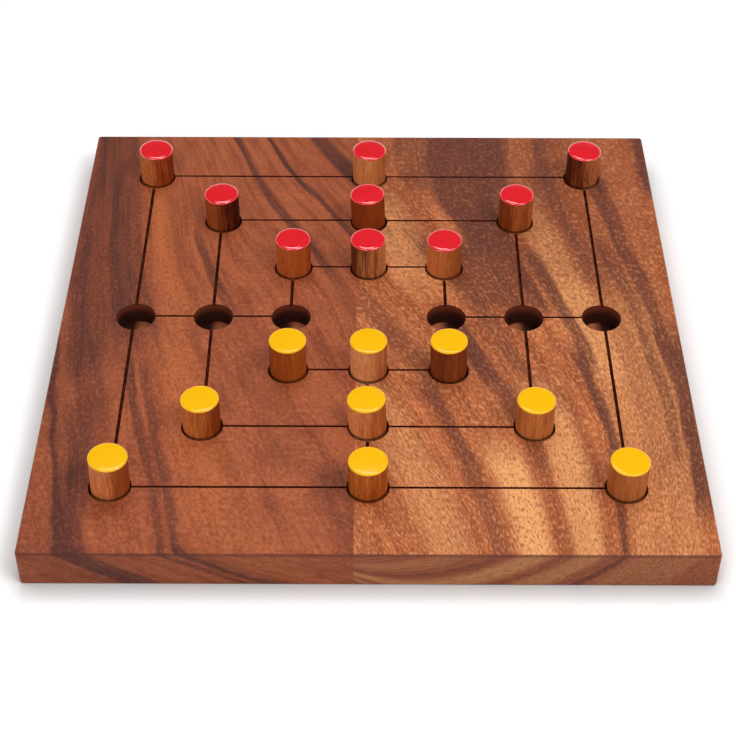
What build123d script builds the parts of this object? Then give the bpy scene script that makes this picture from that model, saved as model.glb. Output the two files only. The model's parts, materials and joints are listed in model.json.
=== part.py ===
from build123d import *
import os

# A nine men's morris board: two glued planks with 24 drilled points, joined by cut
# lines, and eighteen loose dowel pegs, nine with red and nine with yellow painted tops.
# Sizes are millimetres. The origin is the middle of the board's underside, +Z is up,
# +X runs along the front edge, and +Y runs away from the front, towards the red pegs.

# Board, left to right, front to back and upwards.
board_width = 236.0
board_depth = 240.0
board_thickness = 15.0
corner_radius = 2.0
edge_rounding = 1.0

# Playing pattern: three squares about one middle, each a pitch larger than the last.
# It was marked out by hand, so its middle lies a little off the board's.
point_pitch = 29.8
pattern_x = -0.2
pattern_y = 0.5
groove_width = 1.0
groove_depth = 0.8

# The glue line between the planks runs front to back, left of the pattern's middle.
seam_offset = 4.8

# Pegs, and the holes that they stand in: the radial gap round a peg, the sanded edge of
# the mouth, and the depth, which differs a little from ring to ring as hand drilling does.
peg_diameter = 14.0
peg_length = 24.0
peg_foot_chamfer = 0.5
peg_rim_rounding = 1.2
hole_clearance = 0.25
hole_easing = 0.3
inner_hole_depth = 9.0
middle_hole_depth = 9.5
outer_hole_depth = 9.2

# Paint on a peg's top: it covers the rounded rim and a little of the straight side.
paint_thickness = 0.3
paint_skirt = 0.4

# Rings of the pattern and the places on a ring's near or far side.
rings = {"inner": 1, "middle": 2, "outer": 3}
hole_depths = {"inner": inner_hole_depth, "middle": middle_hole_depth, "outer": outer_hole_depth}
columns = {"left": -1, "centre": 0, "right": 1}
sides = {"red": 1, "yellow": -1}

# Sizes that follow from the ones above.
seam_x = pattern_x - seam_offset
peg_radius = peg_diameter / 2
hole_radius = peg_radius + hole_clearance
paint_line = peg_length - peg_rim_rounding - paint_skirt


def hole_bottom(ring_name):
    """The height of a ring's hole bottoms, on which its pegs stand."""
    return board_thickness - hole_depths[ring_name]


def ring_points(ring):
    """The eight points of one square of the pattern, which has none in its middle."""
    points = []
    for column in columns.values():
        for row in columns.values():
            if column == 0 and row == 0:
                continue
            x = pattern_x + column * ring * point_pitch
            y = pattern_y + row * ring * point_pitch
            points.append((x, y))
    return points


def make_blank():
    """The board before it is cut: upright corners rounded, then both faces' edges."""
    with BuildPart() as blank:
        with BuildSketch():
            RectangleRounded(board_width, board_depth, corner_radius)
        extrude(amount=board_thickness)
        under = blank.faces().sort_by(Axis.Z)[0]
        top = blank.faces().sort_by(Axis.Z)[-1]
        fillet(under.edges() + top.edges(), edge_rounding)
    return blank.part


def make_lines():
    """The cut lines, as one solid to take away: three squares and four links."""
    link_length = (max(rings.values()) - min(rings.values())) * point_pitch
    link_middle = (max(rings.values()) + min(rings.values())) / 2 * point_pitch
    spans = [(ring * point_pitch, 2 * ring * point_pitch) for ring in rings.values()]
    with BuildPart() as lines:
        with BuildSketch(Plane.XY.offset(board_thickness - groove_depth)):
            for way in (-1, 1):
                for reach, length in spans:
                    with Locations((pattern_x, pattern_y + way * reach)):
                        Rectangle(length, groove_width)
                    with Locations((pattern_x + way * reach, pattern_y)):
                        Rectangle(groove_width, length)
                with Locations((pattern_x + way * link_middle, pattern_y)):
                    Rectangle(link_length, groove_width)
                with Locations((pattern_x, pattern_y + way * link_middle)):
                    Rectangle(groove_width, link_length)
        extrude(amount=groove_depth)
    return lines.part


def make_hole(depth):
    """One blind hole with its eased mouth, as a solid standing on the origin."""
    with BuildPart() as hole:
        with BuildSketch(Plane.XZ):
            with BuildLine():
                Polyline(
                    (0, 0),
                    (hole_radius, 0),
                    (hole_radius, depth - hole_easing),
                    (hole_radius + hole_easing, depth),
                    (0, depth),
                    close=True,
                )
            make_face()
        revolve(axis=Axis.Z)
    return hole.part


def make_holes():
    """The 24 blind holes, as one set of solids to take away."""
    with BuildPart() as holes:
        for ring_name, ring in rings.items():
            bottom = hole_bottom(ring_name)
            with Locations([(x, y, bottom) for x, y in ring_points(ring)]):
                add(make_hole(hole_depths[ring_name]))
    return holes.part


def make_dowel():
    """A peg's wood, standing on the origin, cut back at the top to carry its paint."""
    core_radius = peg_radius - paint_thickness
    core_top = peg_length - paint_thickness
    rim_middle = (peg_radius - peg_rim_rounding, peg_length - peg_rim_rounding)
    with BuildPart() as dowel:
        with BuildSketch(Plane.XZ):
            with BuildLine():
                Polyline(
                    (0, core_top),
                    (0, 0),
                    (peg_radius - peg_foot_chamfer, 0),
                    (peg_radius, peg_foot_chamfer),
                    (peg_radius, paint_line),
                    (core_radius, paint_line),
                    (core_radius, rim_middle[1]),
                )
                CenterArc(rim_middle, peg_rim_rounding - paint_thickness, 0, 90)
                Line((rim_middle[0], core_top), (0, core_top))
            make_face()
        revolve(axis=Axis.Z)
    return dowel.part


def make_paint():
    """The coat on a peg's top, of one thickness all over, on the dowel's own place."""
    core_radius = peg_radius - paint_thickness
    core_top = peg_length - paint_thickness
    rim_middle = (peg_radius - peg_rim_rounding, peg_length - peg_rim_rounding)
    with BuildPart() as paint:
        with BuildSketch(Plane.XZ):
            with BuildLine():
                Polyline(
                    (core_radius, rim_middle[1]),
                    (core_radius, paint_line),
                    (peg_radius, paint_line),
                    (peg_radius, rim_middle[1]),
                )
                CenterArc(rim_middle, peg_rim_rounding, 0, 90)
                Polyline(
                    (rim_middle[0], peg_length),
                    (0, peg_length),
                    (0, core_top),
                    (rim_middle[0], core_top),
                )
                CenterArc(rim_middle, peg_rim_rounding - paint_thickness, 0, 90)
            make_face()
        revolve(axis=Axis.Z)
    return paint.part


def save(part, node):
    """Write one node's solid under its own name."""
    part.label = node
    export_step(part, f"parts/{node}.step")


os.makedirs("parts", exist_ok=True)

board = make_blank() - make_lines() - make_holes()
seam = Plane.YZ.offset(seam_x)
save(split(board, seam, keep=Keep.BOTTOM), "left_plank")
save(split(board, seam, keep=Keep.TOP), "right_plank")

dowel = make_dowel()
paint = make_paint()
for colour, side in sides.items():
    for ring_name, ring in rings.items():
        for column_name, column in columns.items():
            x = pattern_x + column * ring * point_pitch
            y = pattern_y + side * ring * point_pitch
            place = Pos(x, y, hole_bottom(ring_name))
            save(place * dowel, f"{colour}_peg_{ring_name}_{column_name}")
            save(place * paint, f"{colour}_paint_{ring_name}_{column_name}")
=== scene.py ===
"""Nine men's morris board: the looks of its two glued planks and its eighteen painted dowel pegs.

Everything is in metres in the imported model's frame: the origin is the middle of the board's
underside, +Z is up, +X runs along the front edge and +Y runs away from the front.
"""

import json
import logging
import math
import random
from collections.abc import Callable, Iterator, Mapping
from contextlib import contextmanager
from dataclasses import dataclass
from enum import Enum

import bmesh
import bpy
from mathutils import Matrix, Vector


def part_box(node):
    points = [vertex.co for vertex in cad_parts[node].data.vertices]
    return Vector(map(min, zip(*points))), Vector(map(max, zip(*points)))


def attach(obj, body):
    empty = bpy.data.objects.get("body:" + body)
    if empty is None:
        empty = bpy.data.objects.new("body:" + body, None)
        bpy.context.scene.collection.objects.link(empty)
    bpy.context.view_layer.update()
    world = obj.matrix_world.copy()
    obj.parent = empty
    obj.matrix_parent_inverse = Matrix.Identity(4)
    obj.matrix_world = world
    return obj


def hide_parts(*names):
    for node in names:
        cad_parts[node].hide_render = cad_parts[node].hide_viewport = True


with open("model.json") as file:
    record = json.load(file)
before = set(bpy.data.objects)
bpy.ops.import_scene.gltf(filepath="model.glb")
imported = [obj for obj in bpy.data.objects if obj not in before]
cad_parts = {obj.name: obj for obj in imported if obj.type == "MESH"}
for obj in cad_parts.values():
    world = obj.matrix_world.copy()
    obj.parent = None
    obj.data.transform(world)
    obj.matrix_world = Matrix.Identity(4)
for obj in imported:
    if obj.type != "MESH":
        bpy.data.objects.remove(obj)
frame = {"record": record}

log = logging.getLogger("morris_board")

MM = 0.001
STEP = 30.0 * MM

Colour = tuple[float, float, float, float]


def shade(red: int, green: int, blue: int) -> Colour:
    """A colour as a paint chart gives it.

    Args:
        red: Screen value from 0 to 255.
        green: Screen value from 0 to 255.
        blue: Screen value from 0 to 255.

    Returns:
        The colour in the linear values that shaders take, with full alpha.
    """
    def linear(value: int) -> float:
        """One channel of it."""
        part = value / 255
        return part / 12.92 if part <= 0.04045 else ((part + 0.055) / 1.055) ** 2.4

    return linear(red), linear(green), linear(blue), 1.0


# ---------------------------------------------------------------------------------------------
# Materials: one value with arithmetic, and the recipe that every node is added by.


class Sock:
    """One value inside a material, with the arithmetic that its masks are written in."""

    def __init__(self, recipe: "Recipe", socket: bpy.types.NodeSocket | None) -> None:
        """Keep the socket and the recipe that it belongs to."""
        self.recipe = recipe
        self.socket = socket

    def _math(self, operation: str, first: "Feed", second: "Feed" = 0.0) -> "Sock":
        """One Math node of the given operation on two values."""
        return self.recipe.node("ShaderNodeMath", {"operation": operation}, {0: first, 1: second})

    def __add__(self, other: "Feed") -> "Sock":
        """The sum."""
        return self._math("ADD", self, other)

    __radd__ = __add__

    def __sub__(self, other: "Feed") -> "Sock":
        """The difference."""
        return self._math("SUBTRACT", self, other)

    def __rsub__(self, other: "Feed") -> "Sock":
        """The difference, with this value taken away."""
        return self._math("SUBTRACT", other, self)

    def __mul__(self, other: "Feed") -> "Sock":
        """The product."""
        return self._math("MULTIPLY", self, other)

    __rmul__ = __mul__

    def __truediv__(self, other: "Feed") -> "Sock":
        """The quotient."""
        return self._math("DIVIDE", self, other)

    def __rtruediv__(self, other: "Feed") -> "Sock":
        """The quotient, with this value below the line."""
        return self._math("DIVIDE", other, self)

    def __abs__(self) -> "Sock":
        """The value without its sign."""
        return self._math("ABSOLUTE", self)


Feed = Sock | float | Colour


class Recipe:
    """A material or world while its nodes are being written."""

    def __init__(self, owner: bpy.types.Material | bpy.types.World) -> None:
        """Start from an empty node tree.

        Args:
            owner: The material or world that the nodes belong to.
        """
        owner.use_nodes = True
        self.owner = owner
        self.tree = owner.node_tree
        self.tree.nodes.clear()

    def node(
        self,
        kind: str,
        settings: Mapping[str, object] | None = None,
        values: Mapping[int | str, Feed] | None = None,
        output: int | str = 0,
    ) -> Sock:
        """Add one node.

        Args:
            kind: The node's type.
            settings: Its own settings, which are set first; "stops" are a ramp's colours.
            values: What goes into its sockets: a number, a colour or another node's value.
            output: Which of its outputs to hand on.

        Returns:
            That output, or an empty value where the node has none.
        """
        made = self.tree.nodes.new(kind)
        for name, setting in (settings or {}).items():
            if name == "stops":
                ramp = made.color_ramp
                while len(ramp.elements) < len(setting):
                    ramp.elements.new(0.5)
                for element, (place, colour) in zip(ramp.elements, setting):
                    element.position = place
                    element.color = colour
            else:
                setattr(made, name, setting)
        for name, value in (values or {}).items():
            if isinstance(value, Sock):
                self.tree.links.new(value.socket, made.inputs[name])
            else:
                made.inputs[name].default_value = value
        return Sock(self, made.outputs[output] if made.outputs else None)

    def axes(self) -> tuple[Sock, Sock, Sock]:
        """The point's three coordinates in the part's frame, in metres."""
        point = self.node("ShaderNodeTexCoord", output="Object")
        return tuple(self.node("ShaderNodeSeparateXYZ", None, {0: point}, axis) for axis in "XYZ")

    def noise(
        self, across: Feed, along: Feed, up: Feed, detail: float = 2.0, swirl: float = 0.0
    ) -> Sock:
        """Soft noise, about one cell to each unit of the three coordinates.

        Args:
            across: The first coordinate.
            along: The second coordinate.
            up: The third coordinate.
            detail: How many finer layers it has.
            swirl: How much its cells are curled.

        Returns:
            The noise, from 0 to 1 and mostly near the middle.
        """
        point = self.node("ShaderNodeCombineXYZ", None, {0: across, 1: along, 2: up})
        values = {"Vector": point, "Scale": 1.0, "Detail": detail, "Distortion": swirl}
        return self.node("ShaderNodeTexNoise", None, values, "Fac")

    def rise(self, value: Feed, low: float, high: float) -> Sock:
        """A soft step from 0 at low to 1 at high; it falls instead where high is the smaller."""
        down = high < low
        return self.node(
            "ShaderNodeMapRange",
            {"interpolation_type": "SMOOTHSTEP"},
            {0: value, 1: min(low, high), 2: max(low, high), 3: float(down), 4: float(not down)},
        )

    def blend(self, factor: Feed, start: Feed, end: Feed) -> Sock:
        """A colour between start, at factor 0, and end, at factor 1."""
        return self.node(
            "ShaderNodeMix", {"data_type": "RGBA"}, {0: factor, 6: start, 7: end}, output=2
        )

    def bump(self, height: Sock, strength: float, distance: float) -> Sock:
        """The surface's normal with a fine relief on it."""
        return self.node(
            "ShaderNodeBump", None, {"Height": height, "Strength": strength, "Distance": distance}
        )

    def surface(self, values: Mapping[str, Feed]) -> bpy.types.Material:
        """Finish the material with one Principled shader.

        Args:
            values: What goes into the shader's sockets.

        Returns:
            The finished material.
        """
        shader = self.node("ShaderNodeBsdfPrincipled", None, values)
        self.node("ShaderNodeOutputMaterial", None, {"Surface": shader})
        return self.owner


def new_recipe(name: str) -> Recipe:
    """The recipe of a new material of that name."""
    return Recipe(bpy.data.materials.new(name))


class Cut(Enum):
    """Which face of a plank a material is for."""

    FACE = "face"
    # The drilled holes' material paints their light and shade.
    BORE = "bore"
    # The lines' edge material is painted lighter as a highlight.
    ARRIS = "arris"


@dataclass(frozen=True)
class Streak:
    """A band of other colour along the growth rings of a plank.

    Place and widths are in steps of the pattern across the rings, near and far are how far it
    runs, in steps from the pattern's middle towards the front and the back.
    """

    place: float
    left: float
    right: float
    left_fade: float
    right_fade: float
    near: float
    far: float
    depth: float
    end_fade: float = 0.5

    def mask(self, recipe: Recipe, ring: Sock, along: Sock) -> Sock:
        """How strongly the band shows at a point.

        Args:
            recipe: The material's recipe.
            ring: The point's place across the rings.
            along: The point's place along the plank, in steps.

        Returns:
            0 outside the band, and its depth in its core.
        """
        start, stop = self.place - self.left, self.place + self.right
        band = recipe.rise(ring, start - self.left_fade, start)
        band = band * recipe.rise(ring, stop + self.right_fade, stop)
        if self.near > -4.0:
            half = self.end_fade / 2
            band = band * recipe.rise(along, self.near - half, self.near + half)
        if self.far < 4.0:
            half = self.end_fade / 2
            band = band * recipe.rise(along, self.far + half, self.far - half)
        return band * self.depth


def left_rings(across: Sock, along: Sock, up: Sock) -> Sock:
    """The left plank's rings: they fan out to the front and fall to the right on its end."""
    spread = 1.0 + along * (0.12 + along * 0.0136)
    drift = along * (0.514 + along * (0.0513 + along * 0.0022))
    swell_across = (across + 1.5) / 1.2
    swell_along = (along - 1.2) / 1.1
    swell = 0.4 / (1.0 + (swell_across * swell_across + swell_along * swell_along) * 1.6)
    return across * spread + drift + spread * up * (1.3 + (across + 3.4) * 0.3) - swell * (
        across + 1.5
    )


def right_rings(across: Sock, along: Sock, up: Sock) -> Sock:
    """The right plank's rings: they draw together to the front and rise to the right."""
    spread = 1.0 + along * (along * 0.0133 - 0.1226)
    drift = along * (0.600 - along * (0.0392 + along * 0.0065))
    return across * spread + drift - spread * up * (2.8 / (0.55 + across * 0.85))


# Colours of the drilled holes, all painted light and shade: a dark ring at the mouth, also painted as the shade
# in the gap round each peg's foot, walls that darken with depth, and a floor painted lit towards the board's
# middle.
PAINTED_GAP_SHADE = shade(62, 22, 10)
BORE_MOUTH_PAINTED_SHADE = shade(128, 56, 28)
BORE_DEPTH_PAINTED_SHADE = shade(46, 16, 7)
BORE_FLOOR_PAINTED_LIGHT = shade(214, 126, 84)


@dataclass(frozen=True)
class PlankWood:
    """An oiled hardwood plank with dark streaks along its rings and short open pores."""

    name: str
    body: Colour
    pale: Colour
    streak: Colour
    glow: Colour
    spark: Colour
    pore: Colour
    rings: Callable[[Sock, Sock, Sock], Sock]
    streaks: tuple[Streak, ...]
    glows: tuple[Streak, ...]
    weave: float
    pore_depth: float
    fleck_light: float
    end_shade: float
    seed: float

    def together(self, recipe: Recipe, bands: tuple[Streak, ...], ring: Sock, along: Sock) -> Sock:
        """All the bands as one mask, in which bands that cross don't add up past full."""
        clear: Feed = 1.0
        for band in bands:
            clear = clear * (1.0 - band.mask(recipe, ring, along))
        return 1.0 - clear

    def dress(self, cut: Cut) -> bpy.types.Material:
        """Write the plank's material.

        Args:
            cut: Whether it is for the sanded faces, the drilled holes, whose colours are painted shade and
                painted light, or the lines' edges, painted lighter as a highlight.

        Returns:
            The material.
        """
        recipe = new_recipe(f"{self.name}_{cut.value}")
        x, y, z = recipe.axes()
        across = (x + 0.5 * MM) / STEP
        along = (y - 1.0 * MM) / STEP
        up = (z - 15.0 * MM) / STEP
        ring = self.rings(across, along, up)
        wander = recipe.noise(across * 1.1 + self.seed, along * 0.55, up * 1.1, 1.0)
        ripple = recipe.noise(ring * 7.0, along * 1.3 + self.seed, up * 2.0, 2.0)
        ring = ring + (wander - 0.5) * 0.16 + (ripple - 0.5) * 0.13

        lines = recipe.noise(ring * 7.0, along * 0.30, self.seed, 4.0)
        thread = recipe.noise(ring * 30.0, along * 0.9, up * 3.0, 2.0)
        cells = 33.0 * self.weave
        fleck = recipe.noise(ring * cells + self.seed, along * (cells / 2), up * cells, 2.0, 0.25)
        speck = recipe.noise(ring * 60.0, along * 32.0 + self.seed, up * 60.0, 1.0)
        mottle = recipe.noise(ring * 4.5 + self.seed, along * 2.2, up * 3.0, 2.0)

        tone = 0.5 + (lines - 0.5) * 1.9 + (thread - 0.5) * 1.3 + (mottle - 0.5) * 1.1
        colour = recipe.blend(recipe.rise(tone, 0.0, 1.0), self.body, self.pale)
        glow = self.together(recipe, self.glows, ring, along)
        colour = recipe.blend(glow * (0.75 + thread * 0.5), colour, self.glow)
        dark = self.together(recipe, self.streaks, ring, along)
        grain = (lines - 0.5) * 1.1 + (thread - 0.5) * 0.9
        dark = recipe.rise(dark + grain, 0.02, 1.06)
        colour = recipe.blend(dark * 0.96, colour, self.streak)
        coarse = (0.40 + glow * 0.5 + mottle * 0.6) * (1.0 - recipe.rise(along, 0.0, 4.0) * 0.35)
        bright = recipe.rise(fleck, 0.50, 0.34) * coarse * (1.0 - dark * 0.6)
        colour = recipe.blend(bright * self.fleck_light, colour, self.spark)
        pores = recipe.rise(fleck * 0.8 + speck * 0.2, 0.50, 0.66) * coarse
        colour = recipe.blend(pores * self.pore_depth, colour, self.pore)
        end = recipe.rise(abs(y), 119.2 * MM, 119.6 * MM)
        colour = recipe.blend(end * self.end_shade, colour, self.streak)
        arris = end * recipe.rise(z, 13.9 * MM, 14.5 * MM)
        colour = recipe.blend(arris * (0.35 + lines * 0.5), colour, self.streak)
        rough = 0.42 + thread * 0.12 + pores * 0.15
        if cut is Cut.BORE:
            # Painted shade: the walls darken with depth.
            painted_depth_shade = recipe.rise(z, 14.9 * MM, 10.5 * MM)
            wall = recipe.blend(painted_depth_shade, BORE_MOUTH_PAINTED_SHADE, BORE_DEPTH_PAINTED_SHADE)
            # Painted shade: a dark ring at the mouth stands for the shade in the gap round a peg.
            wall = recipe.blend(recipe.rise(z, 14.62 * MM, 14.74 * MM), wall, PAINTED_GAP_SHADE)
            # Painted light: the floor is lit towards the board's middle and shaded away from it.
            nearest = {"operation": "WRAP"}
            local = recipe.node("ShaderNodeMath", nearest, {0: across, 1: 0.5, 2: -0.5})
            raw = recipe.rise(local * across / abs(across), 0.06, -0.10)
            bottom = recipe.blend(raw, BORE_DEPTH_PAINTED_SHADE, BORE_FLOOR_PAINTED_LIGHT)
            colour = recipe.blend(recipe.rise(z, 6.4 * MM, 6.2 * MM), wall, bottom)
            colour = recipe.blend(thread * 0.35, colour, self.streak)
            rough = 0.62 + thread * 0.2
        elif cut is Cut.ARRIS:
            # Painted highlight: the lines' chamfered edges are painted lighter.
            colour = recipe.blend(0.40, colour, self.spark)
        relief = recipe.bump(thread * 0.35 - pores * 0.65, 0.30, 0.12 * MM)
        return recipe.surface(
            {
                "Base Color": colour,
                "Roughness": rough,
                "Normal": relief,
                "Specular IOR Level": 0.14,
            }
        )


LEFT_WOOD = PlankWood(
    name="left_plank_wood",
    body=shade(140, 69, 43),
    pale=shade(178, 95, 58),
    streak=shade(84, 44, 37),
    glow=shade(206, 114, 58),
    spark=shade(204, 122, 84),
    pore=shade(96, 38, 20),
    rings=left_rings,
    streaks=(
        Streak(-3.05, 0.45, 0.38, 0.25, 0.12, -0.8, 4.2, 0.66, 1.6),
        Streak(-3.90, 0.20, 0.15, 0.10, 0.15, -0.8, 4.2, 0.35, 1.6),
        Streak(-3.47, 0.08, 0.08, 0.18, 0.22, -2.2, -0.4, 0.56, 1.0),
        Streak(-3.62, 0.07, 0.07, 0.16, 0.20, -3.4, -1.6, 0.60, 1.0),
        Streak(-3.78, 0.05, 0.05, 0.14, 0.18, -4.2, -2.8, 0.62, 1.0),
        Streak(-4.00, 0.35, 0.22, 0.20, 0.16, -4.2, -0.4, 0.34, 1.0),
        Streak(-3.87, 0.01, 0.01, 0.04, 0.04, -4.2, 0.4, 0.80, 1.0),
        Streak(-3.62, 0.07, 0.07, 0.08, 0.10, -1.2, 3.2, 0.55),
        Streak(-3.10, 0.04, 0.04, 0.07, 0.08, 0.0, 2.9, 0.60),
        Streak(-3.45, 0.04, 0.04, 0.10, 0.10, 2.6, 4.2, 0.50),
        Streak(-3.04, 0.02, 0.02, 0.06, 0.05, -4.2, -0.9, 0.66),
        Streak(-2.90, 0.02, 0.02, 0.05, 0.06, -4.2, -0.9, 0.58),
        Streak(-1.66, 0.03, 0.03, 0.06, 0.08, 0.1, 1.8, 0.62, 1.0),
        Streak(-1.72, 0.10, 0.13, 0.25, 0.30, -2.7, 0.2, 0.22),
        Streak(-1.42, 0.08, 0.08, 0.25, 0.12, -4.2, -2.6, 0.50),
        Streak(-0.24, 0.04, 0.03, 0.07, 0.12, 1.0, 4.2, 0.84, 1.0),
        Streak(-0.24, 0.05, 0.05, 0.10, 0.18, -0.5, 1.2, 0.35),
        Streak(0.50, 0.02, 0.03, 0.06, 0.08, 2.6, 4.2, 1.00),
        Streak(0.60, 0.03, 0.03, 0.06, 0.08, 0.2, 2.7, 0.80),
        Streak(1.68, 0.12, 0.10, 0.18, 0.30, 2.6, 4.2, 0.86),
        Streak(-3.85, 0.06, 0.12, 0.05, 0.08, -4.2, -3.92, 0.80, 0.08),
        Streak(-2.86, 0.06, 0.16, 0.05, 0.08, -4.2, -3.92, 0.35, 0.08),
    ),
    glows=(
        Streak(-2.30, 0.06, 0.08, 0.14, 0.18, 0.1, 2.9, 0.42, 1.2),
        Streak(-2.60, 0.12, 0.20, 0.15, 0.30, -4.2, -0.2, 0.28, 1.0),
    ),
    weave=1.0,
    pore_depth=0.42,
    fleck_light=0.40,
    end_shade=0.30,
    seed=3.7,
)

RIGHT_WOOD = PlankWood(
    name="right_plank_wood",
    body=shade(154, 78, 43),
    pale=shade(200, 113, 66),
    streak=shade(101, 52, 42),
    glow=shade(248, 176, 112),
    spark=shade(246, 180, 124),
    pore=shade(118, 54, 28),
    rings=right_rings,
    streaks=(
        Streak(2.55, 0.04, 0.04, 0.10, 0.10, -1.0, 1.4, 0.84),
        Streak(2.42, 0.04, 0.04, 0.12, 0.12, -3.0, -0.6, 0.80),
        Streak(2.29, 0.04, 0.04, 0.14, 0.12, -4.2, -2.8, 0.80),
        Streak(1.98, 0.06, 0.06, 0.10, 0.10, -4.2, -1.4, 0.30),
        Streak(2.55, 0.15, 0.15, 0.12, 0.12, 2.4, 4.2, 0.95, 0.8),
        Streak(1.78, 0.12, 0.10, 0.12, 0.12, 2.5, 4.2, 0.60, 0.8),
        Streak(2.75, 0.50, 0.50, 0.40, 0.40, 0.6, 4.2, 0.38),
        Streak(3.50, 0.40, 0.60, 0.30, 0.20, -3.2, 4.2, 0.32, 1.2),
        Streak(2.20, 0.22, 0.20, 0.12, 0.12, 1.3, 4.2, 0.88),
        Streak(1.90, 0.42, 0.42, 0.25, 0.16, 0.1, 1.6, 0.76),
        Streak(1.40, 0.08, 0.08, 0.15, 0.15, 1.4, 2.9, 0.30),
        Streak(3.15, 0.02, 0.02, 0.10, 0.10, 0.9, 4.2, 0.50, 1.0),
        Streak(3.68, 0.04, 0.04, 0.10, 0.09, -1.0, 3.1, 0.80),
        Streak(3.76, 0.10, 0.14, 0.10, 0.10, -3.4, -0.4, 0.86, 1.0),
        Streak(4.22, 0.08, 0.20, 0.10, 0.10, 2.6, 4.2, 0.88),
        Streak(0.15, 0.08, 0.08, 0.22, 0.25, -1.5, 1.4, 0.50, 0.8),
        Streak(0.00, 0.04, 0.04, 0.20, 0.18, -2.7, -1.2, 0.80),
        Streak(-0.05, 0.08, 0.08, 0.22, 0.22, -4.2, -2.6, 0.56),
        Streak(1.05, 0.08, 0.06, 0.15, 0.15, -1.3, 0.2, 0.92),
        Streak(1.15, 0.10, 0.12, 0.18, 0.12, -2.7, -1.2, 0.60),
        Streak(1.20, 0.06, 0.06, 0.16, 0.12, -4.2, -2.6, 0.35),
        Streak(1.55, 0.08, 0.08, 0.12, 0.12, -1.2, 0.2, 0.60),
        Streak(3.45, 0.04, 0.04, 0.08, 0.08, -2.6, 1.6, 0.50),
    ),
    glows=(
        Streak(-1.00, 0.15, 0.22, 0.45, 0.35, -4.2, -1.0, 0.30),
        Streak(0.64, 0.16, 0.12, 0.32, 0.25, -4.2, -2.4, 0.80, 0.8),
        Streak(1.62, 0.12, 0.12, 0.30, 0.30, -4.2, -1.4, 0.56, 1.0),
        Streak(3.00, 0.40, 0.60, 0.30, 0.30, -4.2, 0.4, 0.25, 1.6),
        Streak(1.10, 0.20, 0.20, 0.24, 0.24, 0.6, 2.8, 0.40, 1.0),
        Streak(2.78, 0.10, 0.12, 0.12, 0.18, -1.2, 2.6, 0.32),
    ),
    weave=0.90,
    pore_depth=0.62,
    fleck_light=0.50,
    end_shade=0.56,
    seed=11.3,
)


@dataclass(frozen=True)
class BurntLine:
    """The bottom and walls of the lines, scorched nearly black by the cutter."""

    name: str = "burnt_line"
    char: Colour = shade(46, 14, 6)
    brown: Colour = shade(92, 38, 20)

    def dress(self) -> bpy.types.Material:
        """Write the material."""
        recipe = new_recipe(self.name)
        x, y, z = recipe.axes()
        soot = recipe.noise(x / (2.5 * MM), y / (2.5 * MM), z / (0.6 * MM), 3.0)
        fibre = recipe.noise(x / (0.5 * MM), y / (4.0 * MM), z / (0.5 * MM), 1.0)
        colour = recipe.blend(recipe.rise(soot, 0.35, 0.75), self.char, self.brown)
        return recipe.surface(
            {
                "Base Color": colour,
                "Roughness": 0.72 + soot * 0.2,
                "Normal": recipe.bump(fibre, 0.4, 0.08 * MM),
                "Specular IOR Level": 0.06,
            }
        )


@dataclass(frozen=True)
class PegWood:
    """A turned hardwood dowel: lengthwise stripes, fine fibres and short pores, with painted side light and a
    painted shade band.
    """

    name: str
    axis: Vector
    light: Colour
    dark: Colour
    stripes: float
    painted_side_light: float

    def dress(self) -> bpy.types.Material:
        """Write the material."""
        recipe = new_recipe(self.name)
        x, y, z = recipe.axes()
        stripe = recipe.noise(x / (2.6 * MM), y / (2.6 * MM), z / (60.0 * MM), 3.0)
        fibre = recipe.noise(x / (0.45 * MM), y / (0.45 * MM), z / (7.0 * MM), 2.0)
        cell = recipe.noise(x / (0.32 * MM), y / (0.32 * MM), z / (1.5 * MM), 1.0)
        pores = recipe.rise(cell, 0.56, 0.70)
        # Painted light and shade: the wood is painted lighter towards one side and darker towards the other.
        slope = (x - self.axis.x) / (7.0 * MM) * self.painted_side_light
        tone = 0.5 + slope + (stripe - 0.5) * self.stripes + (fibre - 0.5) * 1.1
        colour = recipe.blend(recipe.rise(tone, 0.0, 1.0), self.dark, self.light)
        colour = recipe.blend(pores * 0.65, colour, self.dark)
        # Painted shade: a dark band at the height of the board's top stands for the shade in the gap round the
        # foot, and rides along when the peg is lifted.
        painted_foot_shade = recipe.rise(z, 15.7 * MM, 15.1 * MM) * recipe.rise(z, 14.0 * MM, 14.8 * MM)
        colour = recipe.blend(painted_foot_shade * 0.75, colour, PAINTED_GAP_SHADE)
        return recipe.surface(
            {
                "Base Color": colour,
                "Roughness": 0.44 + fibre * 0.14,
                "Normal": recipe.bump(fibre * 0.5 - pores * 0.5, 0.25, 0.08 * MM),
                "Specular IOR Level": 0.18,
            }
        )


@dataclass(frozen=True)
class Enamel:
    """Thick glossy enamel that a peg's top was dipped in."""

    name: str
    coat: Colour
    thin: Colour
    shine: float
    lacquer: float

    def dress(self) -> bpy.types.Material:
        """Write the material."""
        recipe = new_recipe(self.name)
        x, y, z = recipe.axes()
        cloud = recipe.noise(x / (6.0 * MM), y / (6.0 * MM), z / (6.0 * MM), 2.0)
        wave = recipe.noise(x / (3.2 * MM), y / (3.2 * MM), z / (3.2 * MM), 1.0)
        speck = recipe.noise(x / (0.5 * MM), y / (0.5 * MM), z / (0.5 * MM), 1.0)
        colour = recipe.blend(recipe.rise(cloud, 0.3, 0.8) * 0.5, self.coat, self.thin)
        return recipe.surface(
            {
                "Base Color": colour,
                "Roughness": 0.10 + speck * 0.06,
                "Normal": recipe.bump(wave + speck * 0.08, 0.35, 0.30 * MM),
                "Specular IOR Level": self.shine,
                "Coat Weight": self.lacquer,
                "Coat IOR": 1.8,
                "Coat Roughness": 0.08,
            }
        )


# ---------------------------------------------------------------------------------------------
# The bench: a mesh and the steps that shape it.


class Kind(Enum):
    """What a selection is made of."""

    VERT = "VERT"
    EDGE = "EDGE"
    FACE = "FACE"


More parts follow.
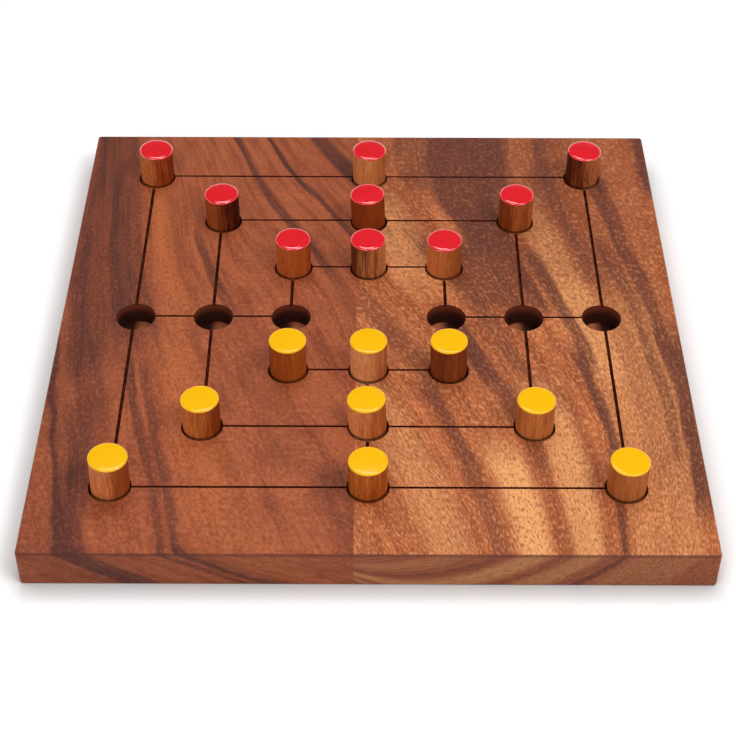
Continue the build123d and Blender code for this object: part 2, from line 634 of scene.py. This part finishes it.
def middle(item: bmesh.types.BMVert | bmesh.types.BMEdge | bmesh.types.BMFace) -> Vector:
    """The middle of one vertex, edge or face."""
    if isinstance(item, bmesh.types.BMVert):
        return item.co.copy()
    corners = [vert.co for vert in item.verts]
    return sum(corners, Vector()) / len(corners)


class Workpiece:
    """One mesh on the bench, shaped by operators."""

    def __init__(self, obj: bpy.types.Object) -> None:
        """Take an object on the bench.

        Args:
            obj: The object, whose place is already in its mesh.
        """
        self.obj = obj

    @classmethod
    def block(cls, name: str, low: Vector, high: Vector) -> "Workpiece":
        """A square block between two corners.

        Args:
            name: The piece's name.
            low: Its lowest corner.
            high: Its highest corner.

        Returns:
            The block on the bench.
        """
        bpy.ops.object.select_all(action="DESELECT")
        bpy.ops.mesh.primitive_cube_add(size=1.0, location=(low + high) / 2)
        bpy.context.active_object.scale = high - low
        return cls(bpy.context.active_object).named(name)

    @classmethod
    def turned(
        cls, name: str, foot: Vector, profile: list[tuple[float, float]], sides: int
    ) -> "Workpiece":
        """A round piece, drawn out ring by ring as on a lathe.

        Args:
            name: The piece's name.
            foot: The point on its axis from which heights are measured.
            profile: Radius and height of each ring, from the first flat face to the last.
            sides: How many sides it has.

        Returns:
            The closed round piece on the bench.
        """
        bpy.ops.object.select_all(action="DESELECT")
        radius, height = profile[0]
        bpy.ops.mesh.primitive_circle_add(
            vertices=sides, radius=radius, fill_type="NGON", location=foot + Vector((0, 0, height))
        )
        piece = cls(bpy.context.active_object).named(name)
        with piece.editing():
            bpy.ops.mesh.select_all(action="SELECT")
            for wider, higher in profile[1:]:
                bpy.ops.mesh.extrude_region_move(
                    TRANSFORM_OT_translate={"value": (0, 0, higher - height)}
                )
                centre = (foot.x, foot.y, foot.z + higher)
                scale = wider / radius
                bpy.ops.transform.resize(value=(scale, scale, 1), center_override=centre)
                radius, height = wider, higher
            bpy.ops.mesh.select_all(action="SELECT")
            bpy.ops.mesh.normals_make_consistent(inside=False)
        return piece

    def named(self, name: str) -> "Workpiece":
        """Name the piece and put its place and size into its mesh."""
        self.obj.name = name
        self.obj.data.name = name
        bpy.ops.object.transform_apply(location=True, rotation=True, scale=True)
        return self

    def take_up(self) -> None:
        """Make this the one selected and active object."""
        bpy.ops.object.select_all(action="DESELECT")
        self.obj.select_set(True)
        bpy.context.view_layer.objects.active = self.obj

    @contextmanager
    def editing(self) -> Iterator[None]:
        """Edit mode with nothing selected, and object mode again afterwards."""
        self.take_up()
        bpy.ops.object.mode_set(mode="EDIT")
        bpy.ops.mesh.select_all(action="DESELECT")
        yield
        bpy.ops.object.mode_set(mode="OBJECT")

    def pick(self, kind: Kind, wanted: Callable[[object], bool]) -> int:
        """Select in edit mode by a test.

        Args:
            kind: Vertices, edges or faces.
            wanted: The test that each of them is put to.

        Returns:
            How many were selected.
        """
        bpy.ops.mesh.select_all(action="DESELECT")
        bpy.ops.mesh.select_mode(type=kind.value)
        mesh = bmesh.from_edit_mesh(self.obj.data)
        items = {Kind.VERT: mesh.verts, Kind.EDGE: mesh.edges, Kind.FACE: mesh.faces}[kind]
        chosen = [item for item in items if wanted(item)]
        for item in chosen:
            item.select_set(True)
        bmesh.update_edit_mesh(self.obj.data)
        return len(chosen)

    def modify(self, kind: str, **settings: object) -> None:
        """Add one modifier and apply it.

        Args:
            kind: The modifier's type.
            **settings: Its settings.
        """
        self.take_up()
        modifier = self.obj.modifiers.new(kind.lower(), kind)
        for name, setting in settings.items():
            setattr(modifier, name, setting)
        bpy.ops.object.modifier_apply(modifier=modifier.name)

    def cut_away(self, cutter: bpy.types.Object) -> None:
        """Take the cutter's shape away, and let its materials come along."""
        self.modify(
            "BOOLEAN",
            operation="DIFFERENCE",
            object=cutter,
            solver="EXACT",
            material_mode="TRANSFER",
        )

    def lean(self, angle: float, about: Vector) -> None:
        """Lean the piece to the right by an angle, about a point."""
        with self.editing():
            bpy.ops.mesh.select_all(action="SELECT")
            bpy.ops.transform.rotate(
                value=-angle, orient_axis="Y", orient_type="GLOBAL", center_override=about
            )

    def smooth(self, degrees: float) -> None:
        """Shade smooth up to an edge angle, with faces square to the frame kept flat."""
        self.take_up()
        bpy.ops.object.shade_smooth_by_angle(angle=math.radians(degrees))
        for face in self.obj.data.polygons:
            if max(abs(part) for part in face.normal) > 0.99999:
                face.use_smooth = False
        self.modify("WEIGHTED_NORMAL", keep_sharp=True, weight=100)

    def dress(self, *materials: bpy.types.Material) -> None:
        """Give the piece its materials, in the order of its slots."""
        self.obj.data.materials.clear()
        for material in materials:
            self.obj.data.materials.append(material)

    def hand_over(self, body: str, node: str, slot: str) -> None:
        """Put the finished piece in the model.

        Args:
            body: The body that it rides on.
            node: The CAD node that it stands for.
            slot: The record's material slot of its finish; not used.
        """
        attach(self.obj, body)
        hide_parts(node)
        log.info("%s: %d faces, rides on %s", self.obj.name, len(self.obj.data.polygons), body)


def joined(name: str, parts: list[Workpiece]) -> Workpiece:
    """Several workpieces as one mesh.

    Args:
        name: The name of the whole.
        parts: The workpieces, which are used up.

    Returns:
        The whole.
    """
    bpy.ops.object.select_all(action="DESELECT")
    for part in parts:
        part.obj.select_set(True)
    bpy.context.view_layer.objects.active = parts[0].obj
    bpy.ops.object.join()
    whole = Workpiece(parts[0].obj)
    whole.obj.name = name
    return whole


def throw_away(piece: Workpiece) -> None:
    """Delete a tool that is done with."""
    bpy.data.objects.remove(piece.obj, do_unlink=True)


# ---------------------------------------------------------------------------------------------
# The board.


@dataclass(frozen=True)
class Hole:
    """One drilled point: the middle of its flat bottom and its column and row in the pattern."""

    bottom: Vector
    column: int
    row: int


# How far each column's long lines stray to the right by hand, in mm at the front and the back.
LINE_STRAYS = {-3: (0.80, 0.0), -2: (0.72, 0.05), -1: (0.55, 0.15), 3: (0.70, 0.40)}


class Side(Enum):
    """The two planks, by the side of the glue line that they are on."""

    LEFT = "left"
    RIGHT = "right"


@dataclass
class Board:
    """Two planks glued edge to edge, drilled at 24 points and cut with the lines between them."""

    corner_radius: float = 1.2 * MM
    edge_rounding: float = 0.6 * MM
    hole_radius: float = 7.27 * MM
    mouth_flare: float = 0.28 * MM
    line_pitch: float = 30.0 * MM
    line_middle: tuple[float, float] = (-0.5 * MM, 1.0 * MM)
    cross_line: float = 0.74 * MM
    long_line: float = 0.98 * MM
    line_depth: float = 0.8 * MM
    line_end: float = 2.5 * MM
    seed: int = 24

    def __post_init__(self) -> None:
        """Read the board's top and the drilled points from the frame."""
        self.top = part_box("left_plank")[1][2]
        self.holes = self.find_holes()
        self.random = random.Random(self.seed)

    def find_holes(self) -> list[Hole]:
        """The 24 points: six free ones that the record lists, and one under each peg."""
        steps = {"inner": 1, "middle": 2, "outer": 3}
        ways = {"left": -1, "centre": 0, "right": 1}
        holes = []
        for mount in frame["record"]["mounts"]:
            if mount["kind"] != "bore":
                continue
            _, _, ring, way = mount["name"].split("_")
            mouth = Vector(mount["pos_m"])
            depth = mount["dims"]["length_mm"] * MM
            holes.append(Hole(mouth - Vector((0, 0, depth)), ways[way] * steps[ring], 0))
        for colour, side in (("red", 1), ("yellow", -1)):
            for ring, step in steps.items():
                for way, column in ways.items():
                    low, high = (Vector(c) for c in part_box(f"{colour}_peg_{ring}_{way}"))
                    foot = Vector(((low.x + high.x) / 2, (low.y + high.y) / 2, low.z))
                    holes.append(Hole(foot, column * step, side * step))
        return holes

    def blank(self, side: Side) -> Workpiece:
        """One plank before it is drilled.

        Args:
            side: Which plank.

        Returns:
            A block with its outer corners and edges rounded and its glue line left square.
        """
        low, high = (Vector(corner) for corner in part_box(f"{side.value}_plank"))
        plank = Workpiece.block(f"{side.value}_plank_wood", low, high)
        outer = low.x if side is Side.LEFT else high.x
        seam = high.x if side is Side.LEFT else low.x
        near = 1e-5

        def corner(edge: bmesh.types.BMEdge) -> bool:
            """An upright edge away from the glue line."""
            run = edge.verts[1].co - edge.verts[0].co
            return abs(run.z) > near and abs(middle(edge).x - outer) < near

        def rim(edge: bmesh.types.BMEdge) -> bool:
            """An edge of the top or the underside away from the glue line."""
            level = {round(vert.co.z, 6) for vert in edge.verts}
            at_seam = all(abs(vert.co.x - seam) < near for vert in edge.verts)
            return len(level) == 1 and not at_seam and len(edge.link_faces) == 2

        with plank.editing():
            plank.pick(Kind.EDGE, corner)
            bpy.ops.mesh.bevel(offset=self.corner_radius, segments=8, affect="EDGES")
            plank.pick(Kind.EDGE, rim)
            bpy.ops.mesh.bevel(offset=self.edge_rounding, segments=5, affect="EDGES")
        return plank

    def drill(self) -> Workpiece:
        """The shape of all 24 holes, with their eased mouths, as one cutter."""
        bits = []
        for hole in self.holes:
            depth = self.top - hole.bottom.z
            clear = 0.5 * MM
            profile = [
                (self.hole_radius, 0.0),
                (self.hole_radius, depth - self.mouth_flare),
                (self.hole_radius + self.mouth_flare + clear, depth + clear),
            ]
            bits.append(Workpiece.turned("bit", hole.bottom, profile, 96))
        return joined("drill_bits", bits)

    def chisel(self, start: Vector, stop: Vector, width: float) -> Workpiece:
        """The shape of one straight line: sloped walls, a soft bottom and worn upper edges.

        Args:
            start: One end on the board's top.
            stop: The other end.
            width: The line's width on the board's top.

        Returns:
            The cutter, whose second material slot is the worn edge, painted lighter as a highlight.
        """
        length = (stop - start).length
        half = width / 2
        worn = 0.12 * MM
        bar = Workpiece.block(
            "line_cutter", Vector((0, -half * 0.76, -self.line_depth)), Vector((length, half * 0.76, -worn))
        )
        with bar.editing():
            bar.pick(Kind.FACE, lambda face: middle(face).z > -worn - 1e-6)
            bpy.ops.transform.resize(value=(1, 1 / 0.76, 1), center_override=(0, 0, -worn))
            bpy.ops.mesh.extrude_region_move(TRANSFORM_OT_translate={"value": (0, 0, 4 * worn)})
            wide = (half + 4 * worn) / half
            bpy.ops.transform.resize(value=(1, wide, 1), center_override=(0, 0, 3 * worn))
            bar.pick(Kind.EDGE, lambda edge: middle(edge).z < -self.line_depth + 1e-6
                     and abs(edge.verts[0].co.x - edge.verts[1].co.x) > 1 * MM)
            bpy.ops.mesh.bevel(offset=0.2 * MM, segments=3, affect="EDGES")
        for face in bar.obj.data.polygons:
            face.material_index = 1 if face.center.z > -worn + 1e-6 else 0
        run = stop - start
        bar.obj.rotation_euler = (0, 0, math.atan2(run.y, run.x))
        bar.obj.location = start
        bar.take_up()
        bpy.ops.object.transform_apply(location=True, rotation=True, scale=True)
        return bar

    def line_end_point(self, hole: Hole, toward: Vector) -> Vector:
        """Where a line ends inside a hole, a little short of the middle of the hole."""
        x = self.line_middle[0] + hole.column * self.line_pitch
        y = self.line_middle[1] + hole.row * self.line_pitch
        near, far = LINE_STRAYS.get(hole.column, (0.0, 0.0))
        x += (near + (far - near) * (hole.row + 3) / 6) * MM
        stray = 0.10 * MM
        point = Vector((x + self.random.uniform(-stray, stray), y + self.random.uniform(-stray, stray), self.top))
        return point + toward * self.line_end

    def rule(self) -> Workpiece:
        """The shape of all 32 lines between neighbouring points, as one cutter."""
        by_place = {(hole.column, hole.row): hole for hole in self.holes}
        bars = []
        for place, hole in sorted(by_place.items()):
            for way in ((1, 0), (0, 1)):
                other = self.neighbour(by_place, place, way)
                if other is None:
                    continue
                toward = Vector((way[0], way[1], 0))
                start = self.line_end_point(hole, toward)
                stop = self.line_end_point(other, -toward)
                width = self.cross_line if way == (1, 0) else self.long_line
                bars.append(self.chisel(start, stop, width))
        log.info("%d lines between the points", len(bars))
        return joined("line_cutters", bars)

    @staticmethod
    def neighbour(
        by_place: Mapping[tuple[int, int], Hole], place: tuple[int, int], way: tuple[int, int]
    ) -> Hole | None:
        """The next point along a line of the pattern.

        Args:
            by_place: The holes by column and row.
            place: Where to start.
            way: One step to the right or to the back.

        Returns:
            The hole that the line from this point ends in, or None where no line goes that way.
        """
        column, row = place
        for step in range(1, 7):
            there = (column + way[0] * step, row + way[1] * step)
            if there == (0, 0):
                return None
            if there in by_place:
                return by_place[there]
        return None

    def build(self) -> None:
        """Make both planks and hand them over."""
        bits = self.drill()
        bars = self.rule()
        burnt = BurntLine().dress()
        for side, wood in ((Side.LEFT, LEFT_WOOD), (Side.RIGHT, RIGHT_WOOD)):
            plank = self.blank(side)
            plank.dress(wood.dress(Cut.FACE))
            bits.dress(wood.dress(Cut.BORE))
            bars.dress(burnt, wood.dress(Cut.ARRIS))
            plank.cut_away(bits.obj)
            plank.cut_away(bars.obj)
            plank.smooth(30.0)
            plank.hand_over("board", f"{side.value}_plank", f"{side.value}_plank_wood")
        throw_away(bits)
        throw_away(bars)


# ---------------------------------------------------------------------------------------------
# The pegs.


@dataclass(frozen=True)
class PegCut:
    """What sets one peg apart: its wood, how far it stands out and how far its top strays.

    The last one paints light and shade across the dowel: how much lighter its wood is painted towards the right,
    and below zero towards the left.
    """

    light: Colour
    dark: Colour
    stripes: float
    stands: float
    sway: float
    painted_side_light: float


PEG_CUTS = {
    "red_outer_left": PegCut(shade(206, 116, 60), shade(130, 46, 8), 0.7, 14.75, 0.62, -0.55),
    "red_outer_centre": PegCut(shade(230, 150, 88), shade(178, 98, 48), 0.8, 14.75, 0.06, -0.3),
    "red_outer_right": PegCut(shade(180, 102, 56), shade(80, 22, 0), 1.2, 14.75, 0.3, 0.75),
    "red_middle_left": PegCut(shade(158, 74, 34), shade(60, 10, 0), 0.8, 14.45, -0.19, -0.75),
    "red_middle_centre": PegCut(shade(162, 72, 22), shade(112, 38, 6), 0.8, 14.45, -0.8, 0.0),
    "red_middle_right": PegCut(shade(178, 96, 44), shade(118, 46, 8), 1.4, 14.45, 0.07, 0.15),
    "red_inner_left": PegCut(shade(198, 104, 44), shade(152, 66, 22), 0.8, 14.95, 0.04, -0.2),
    "red_inner_centre": PegCut(shade(204, 128, 74), shade(104, 46, 20), 1.9, 14.95, -0.36, 0.5),
    "red_inner_right": PegCut(shade(214, 124, 64), shade(150, 74, 32), 0.9, 14.6, -0.22, -0.45),
    "yellow_inner_left": PegCut(shade(178, 92, 32), shade(136, 56, 12), 1.0, 14.95, 0.1, 0.15),
    "yellow_inner_centre": PegCut(shade(240, 164, 108), shade(172, 96, 48), 0.9, 14.9, 0.0, -0.4),
    "yellow_inner_right": PegCut(shade(148, 74, 32), shade(104, 38, 10), 1.1, 14.95, -0.31, 0.0),
    "yellow_middle_left": PegCut(shade(214, 124, 62), shade(128, 50, 10), 0.9, 13.7, -0.16, -0.45),
    "yellow_middle_centre": PegCut(shade(236, 150, 92), shade(168, 88, 40), 0.9, 13.9, -0.76, -0.4),
    "yellow_middle_right": PegCut(shade(206, 128, 70), shade(152, 76, 30), 1.2, 13.6, -0.05, 0.0),
    "yellow_outer_left": PegCut(shade(232, 140, 84), shade(150, 70, 30), 1.0, 14.7, 0.62, -0.45),
    "yellow_outer_centre": PegCut(shade(206, 116, 46), shade(134, 52, 8), 1.3, 13.2, 0.0, 0.0),
    "yellow_outer_right": PegCut(shade(202, 122, 66), shade(154, 84, 42), 1.2, 13.4, 0.21, 0.2),
}


@dataclass(frozen=True)
class Crown:
    """How a colour's tops are rounded and dipped, in metres.

    The rim's width and height, how far the paint runs down the straight side, and how much
    further in its longest drips.
    """

    rim: float
    fall: float
    skirt: float
    drip: float


@dataclass
class Peg:
    """A loose dowel with a dipped top, as it stands in its hole."""

    colour: str
    place: str
    cut: PegCut
    paint: bpy.types.Material
    shape: Crown
    radius: float = 6.84 * MM
    foot_chamfer: float = 0.5 * MM
    coat: float = 0.25 * MM
    dome: float = 0.10 * MM
    rests: float = 0.32 * MM
    sides: int = 96

    def __post_init__(self) -> None:
        """Read the peg's foot, which rests at the far side of its hole, and find its top."""
        low, high = (Vector(corner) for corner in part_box(f"{self.colour}_peg_{self.place}"))
        self.foot = Vector(((low.x + high.x) / 2, (low.y + high.y) / 2 + self.rests, low.z))
        board_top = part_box("left_plank")[1][2]
        self.top = board_top + self.cut.stands * MM
        self.grip = Vector((self.foot.x, self.foot.y, (self.foot.z + board_top) / 2))
        self.angle = self.cut.sway * MM / (self.top - self.grip.z)

    def crown(self, inwards: float) -> list[tuple[float, float]]:
        """The rounded top, as rings from the edge to near the middle.

        Args:
            inwards: How far inside the paint's surface it lies.

        Returns:
            Radius and height of each ring, above the peg's foot.
        """
        height = self.top - self.foot.z - inwards
        wall = self.radius + 0.05 * MM - inwards
        rings = []
        for turn in (0, 18, 36, 54, 72, 90):
            angle = math.radians(turn)
            drop = self.dome + self.shape.fall * (1 - math.sin(angle))
            rings.append((wall - self.shape.rim * (1 - math.cos(angle)), height - drop))
        span = wall - self.shape.rim - 2.0 * MM
        for part in (0.3, 0.65, 1.0):
            drop = self.dome * (1 - part) * (1 - part)
            rings.append((wall - self.shape.rim - span * part, height - drop))
        return rings

    def turn_wood(self) -> Workpiece:
        """The dowel: a chamfered foot, straight sides and a shoulder under the paint.

        Where it leans, its foot starts a little higher, so that its edge stands on the bottom.
        """
        paint_line = self.crown(0.0)[0][1] - self.shape.skirt * 0.6
        base = self.radius * abs(self.angle)
        profile = [
            (self.radius - self.foot_chamfer, base),
            (self.radius - self.foot_chamfer * 0.3, base + self.foot_chamfer * 0.45),
            (self.radius, base + self.foot_chamfer),
            (self.radius, paint_line),
            (self.radius - self.coat, paint_line),
            *self.crown(self.coat + 0.06 * MM)[1:],
        ]
        return Workpiece.turned(f"{self.colour}_peg_{self.place}_wood", self.foot, profile, self.sides)

    def dip_paint(self) -> Workpiece:
        """The coat: a soft crown, a tight rim and a lower edge that runs unevenly."""
        outer = self.crown(0.0)
        inner = self.crown(self.coat)
        lip = outer[0][1] - self.shape.skirt
        wall = self.radius + 0.05 * MM
        profile = [
            *reversed(inner[1:]),
            (wall - self.coat, lip + 0.12 * MM),
            (wall - 0.05 * MM, lip),
            (wall, lip + 0.08 * MM),
            *outer,
        ]
        coat = Workpiece.turned(
            f"{self.colour}_paint_{self.place}_coat", self.foot, profile, self.sides
        )
        self.run_edge(coat, self.foot.z + lip)
        return coat

    def run_edge(self, coat: Workpiece, level: float) -> None:
        """Let the coat's lower edge run a little further down in some places than in others.

        Args:
            coat: The coat.
            level: The height of its lower edge.
        """
        group = coat.obj.vertex_groups.new(name="lower_edge")
        lowest = [vert.index for vert in coat.obj.data.vertices if vert.co.z < level + 0.14 * MM]
        group.add(lowest, 1.0, "REPLACE")
        waves = bpy.data.textures.new("dip_waves", "CLOUDS")
        waves.noise_scale = 4.2 * MM
        waves.noise_depth = 1
        coat.modify(
            "DISPLACE",
            texture=waves,
            texture_coords="GLOBAL",
            direction="Z",
            mid_level=0.58,
            strength=self.shape.drip,
            vertex_group=group.name,
        )
        coat.obj.vertex_groups.clear()

    def build(self) -> None:
        """Make the dowel and its coat and hand them over."""
        body = f"{self.colour}_{self.place}"
        cut = self.cut
        finish = PegWood(f"{body}_dowel", self.foot, cut.light, cut.dark, cut.stripes, cut.painted_side_light)
        wood = self.turn_wood()
        wood.dress(finish.dress())
        coat = self.dip_paint()
        coat.dress(self.paint)
        for piece in (wood, coat):
            piece.lean(self.angle, self.grip)
            piece.smooth(40.0)
        wood.hand_over(body, f"{self.colour}_peg_{self.place}", "peg_wood")
        coat.hand_over(body, f"{self.colour}_paint_{self.place}", f"{self.colour}_paint")


@dataclass
class PegSet:
    """The eighteen pegs."""

    red: Enamel = Enamel("red_enamel", shade(242, 24, 38), shade(234, 20, 34), 0.80, 0.8)
    yellow: Enamel = Enamel("yellow_enamel", shade(255, 190, 2), shade(255, 196, 8), 0.35, 0.2)
    red_crown: Crown = Crown(1.30 * MM, 0.72 * MM, 0.14 * MM, 1.1 * MM)
    yellow_crown: Crown = Crown(1.00 * MM, 0.56 * MM, 0.20 * MM, 0.5 * MM)

    def build(self) -> None:
        """Make every peg in its own wood."""
        paints = {"red": self.red.dress(), "yellow": self.yellow.dress()}
        crowns = {"red": self.red_crown, "yellow": self.yellow_crown}
        for name, cut in PEG_CUTS.items():
            colour, place = name.split("_", 1)
            Peg(colour, place, cut, paints[colour], crowns[colour]).build()


# ---------------------------------------------------------------------------------------------
# The studio.


@dataclass
class Studio:
    """A white table under soft lamps, and the camera."""

    camera_place: Vector = Vector((0.000376, -0.49817, 0.449865))
    camera_yaw: float = 0.0016
    camera_pitch: float = -0.7465
    camera_roll: float = 0.0022
    lens: float = 84.2
    sky: float = 0.42
    ceiling: float = 0.06

    def set_camera(self) -> None:
        """Put the camera where the photograph was taken from."""
        data = bpy.data.cameras.new("camera")
        data.lens = self.lens
        data.sensor_width = 36.0
        camera = bpy.data.objects.new("camera", data)
        turn = (
            Matrix.Rotation(self.camera_yaw, 4, "Z")
            @ Matrix.Rotation(math.pi / 2 + self.camera_pitch, 4, "X")
            @ Matrix.Rotation(self.camera_roll, 4, "Z")
        )
        camera.matrix_world = Matrix.Translation(self.camera_place) @ turn
        bpy.context.scene.collection.objects.link(camera)
        bpy.context.scene.camera = camera

    def lay_floor(self) -> None:
        """A wide white table top that keeps the board's soft shadow, darkened near the board by a painted contact
        shadow, and is plain further off.
        """
        bpy.ops.object.select_all(action="DESELECT")
        bpy.ops.mesh.primitive_plane_add(size=8.0, location=(0, 0, -0.05 * MM))
        floor = Workpiece(bpy.context.active_object).named("table_top")
        recipe = new_recipe("white_table")
        seen = self.seen_ray(recipe)
        # Ambient occlusion darkens the table's colour within 11 mm of the board: a painted contact shadow.
        near = recipe.node("ShaderNodeAmbientOcclusion", {"samples": 16}, {"Distance": 11 * MM}, "AO")
        white = recipe.blend(near, (0.24, 0.24, 0.24, 1.0), (1.10, 1.10, 1.10, 1.0))
        paper = recipe.blend(seen, (0.72, 0.72, 0.715, 1.0), white)
        values = {"Base Color": paper, "Roughness": 1.0, "Specular IOR Level": 0.0}
        lit = recipe.node("ShaderNodeBsdfPrincipled", None, values)
        bare = recipe.node("ShaderNodeEmission", None, {"Strength": 1.0})
        x, y, _ = recipe.axes()
        away = recipe.rise(x * x + y * y, 0.05, 0.30) * seen
        mixed = recipe.node("ShaderNodeMixShader", None, {0: away, 1: lit, 2: bare})
        recipe.node("ShaderNodeOutputMaterial", None, {"Surface": mixed})
        floor.dress(recipe.owner)

    @staticmethod
    def seen_ray(recipe: Recipe) -> Sock:
        """1 for what the camera sees, straight, in gloss or through glass, and otherwise 0."""
        rays = [
            recipe.node("ShaderNodeLightPath", None, None, output)
            for output in ("Is Camera Ray", "Is Glossy Ray", "Is Transmission Ray")
        ]
        return 1.0 - (1.0 - rays[0]) * (1.0 - rays[1]) * (1.0 - rays[2])

    def fill_sky(self) -> None:
        """White all round for the eye, and plain soft light from above for the part."""
        world = bpy.data.worlds.new("studio")
        bpy.context.scene.world = world
        recipe = Recipe(world)
        camera = recipe.node("ShaderNodeLightPath", None, None, "Is Camera Ray")
        seen = self.seen_ray(recipe)
        way = recipe.node("ShaderNodeTexCoord", None, None, "Generated")
        height = recipe.node("ShaderNodeSeparateXYZ", None, {0: way}, "Z")
        gloss = 1.0 - recipe.rise(height, 0.25, 0.55) * (1.0 - self.ceiling)
        strength = camera + (1.0 - camera) * (seen * gloss + (1.0 - seen) * self.sky)
        light = recipe.node("ShaderNodeBackground", None, {"Color": (1, 1, 1, 1), "Strength": strength})
        recipe.node("ShaderNodeOutputWorld", None, {"Surface": light})

    @staticmethod
    def hang_lamp(name: str, place: Vector, width: float, height: float, watts: float) -> None:
        """One soft white lamp that faces the board.

        Args:
            name: Its name.
            place: Where it hangs.
            width: Its level side.
            height: Its other side.
            watts: Its power.
        """
        data = bpy.data.lights.new(name, "AREA")
        data.shape = "RECTANGLE"
        data.size = width
        data.size_y = height
        data.energy = watts
        lamp = bpy.data.objects.new(name, data)
        lamp.matrix_world = Matrix.Translation(place) @ place.to_track_quat("Z", "Y").to_matrix().to_4x4()
        bpy.context.scene.collection.objects.link(lamp)

    def build(self) -> None:
        """Set up the camera, the table and the light."""
        bpy.context.scene.view_settings.view_transform = "Standard"
        self.set_camera()
        self.lay_floor()
        self.fill_sky()
        self.hang_lamp("back_softbox", Vector((-0.08, 0.46, 1.12)), 0.46, 0.46, 3.0)
        self.hang_lamp("top_softbox", Vector((0.18, -0.10, 1.12)), 0.60, 0.60, 1.2)
        self.hang_lamp("side_softbox", Vector((0.60, -0.50, 1.05)), 0.70, 0.24, 5.4)
        self.hang_lamp("front_fill", Vector((-0.50, -1.00, 0.64)), 0.50, 0.50, 3.4)


def main() -> None:
    """Build the model in order."""
    logging.basicConfig(level=logging.INFO, format="%(name)s: %(message)s")
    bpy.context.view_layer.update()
    Studio().build()
    Board().build()
    PegSet().build()


if __name__ == "__main__":
    main()
